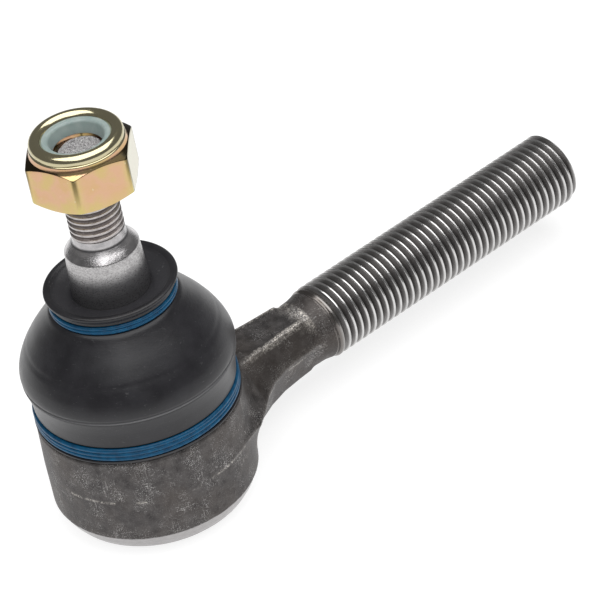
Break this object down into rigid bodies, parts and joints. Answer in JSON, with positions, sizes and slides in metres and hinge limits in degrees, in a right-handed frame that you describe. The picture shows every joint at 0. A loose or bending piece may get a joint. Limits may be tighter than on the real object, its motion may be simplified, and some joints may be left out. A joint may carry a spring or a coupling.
{
  "type": "tie rod end",
  "caption": "Steering tie rod end: ball stud with lock nut in a forged socket, rubber dust boot with clamp rings, and a male-threaded shank.",
  "frame": {"origin": "centre of the ball", "axes": "+Z along the upright ball stud towards the nut, +X along the shank towards its threaded tip, +Y across both"},
  "size_m": [0.1525, 0.0482, 0.0981],
  "materials": {
    "forged_steel": "dark forged and shot-blasted steel, turned and oiled on the thread",
    "bearing_plastic": "matte acetal",
    "spring_steel": "dark spring steel",
    "plated_steel": "satin zinc",
    "blue_wire": "blue coated spring wire, satin gloss",
    "boot_rubber": "matte black rubber",
    "stud_steel": "ground and turned steel",
    "yellow_zinc": "yellow-passivated zinc, slightly iridescent",
    "nylon": "translucent grey-blue nylon"
  },
  "bodies": {
    "socket": {"housing": "forged_steel", "upper_bearing_shell": "bearing_plastic", "lower_bearing_shell": "bearing_plastic", "preload_spring": "spring_steel", "cover_plate": "plated_steel", "lower_clamp_ring": "blue_wire"},
    "boot": {"dust_boot": "boot_rubber"},
    "boot_collar": {"upper_clamp_ring": "blue_wire"},
    "stud": {"ball_stud": "stud_steel"},
    "nut_carrier": {"nylon_insert": "nylon"},
    "nut": {"lock_nut": "yellow_zinc"}
  },
  "joints": [
    {"name": "stud_swing", "type": "hinge", "parent": "socket", "child": "boot", "pos_m": [0, 0, 0], "axis": [0, 1, 0], "range_deg": [-20, 20], "deforming": ["dust_boot"]},
    {"name": "stud_rock", "type": "hinge", "parent": "boot", "child": "boot_collar", "pos_m": [0, 0, 0], "axis": [1, 0, 0], "range_deg": [-20, 20], "deforming": ["dust_boot"]},
    {"name": "stud_spin", "type": "hinge", "parent": "boot_collar", "child": "stud", "pos_m": [0, 0, 0], "axis": [0, 0, 1], "continuous": true},
    {"name": "nut_travel", "type": "slide", "parent": "stud", "child": "nut_carrier", "axis": [0, 0, 1], "range_m": [-0.01, 0.00925], "deforming": ["nylon_insert"]},
    {"name": "nut_turn", "type": "hinge", "parent": "nut_carrier", "child": "nut", "pos_m": [0, 0, 0], "axis": [0, 0, 1], "range_deg": [-2401, 2221]}
  ],
  "couplings": [
    {"joint": "nut_turn", "follows": "nut_travel", "rad_per_m": 4188.8}
  ]
}
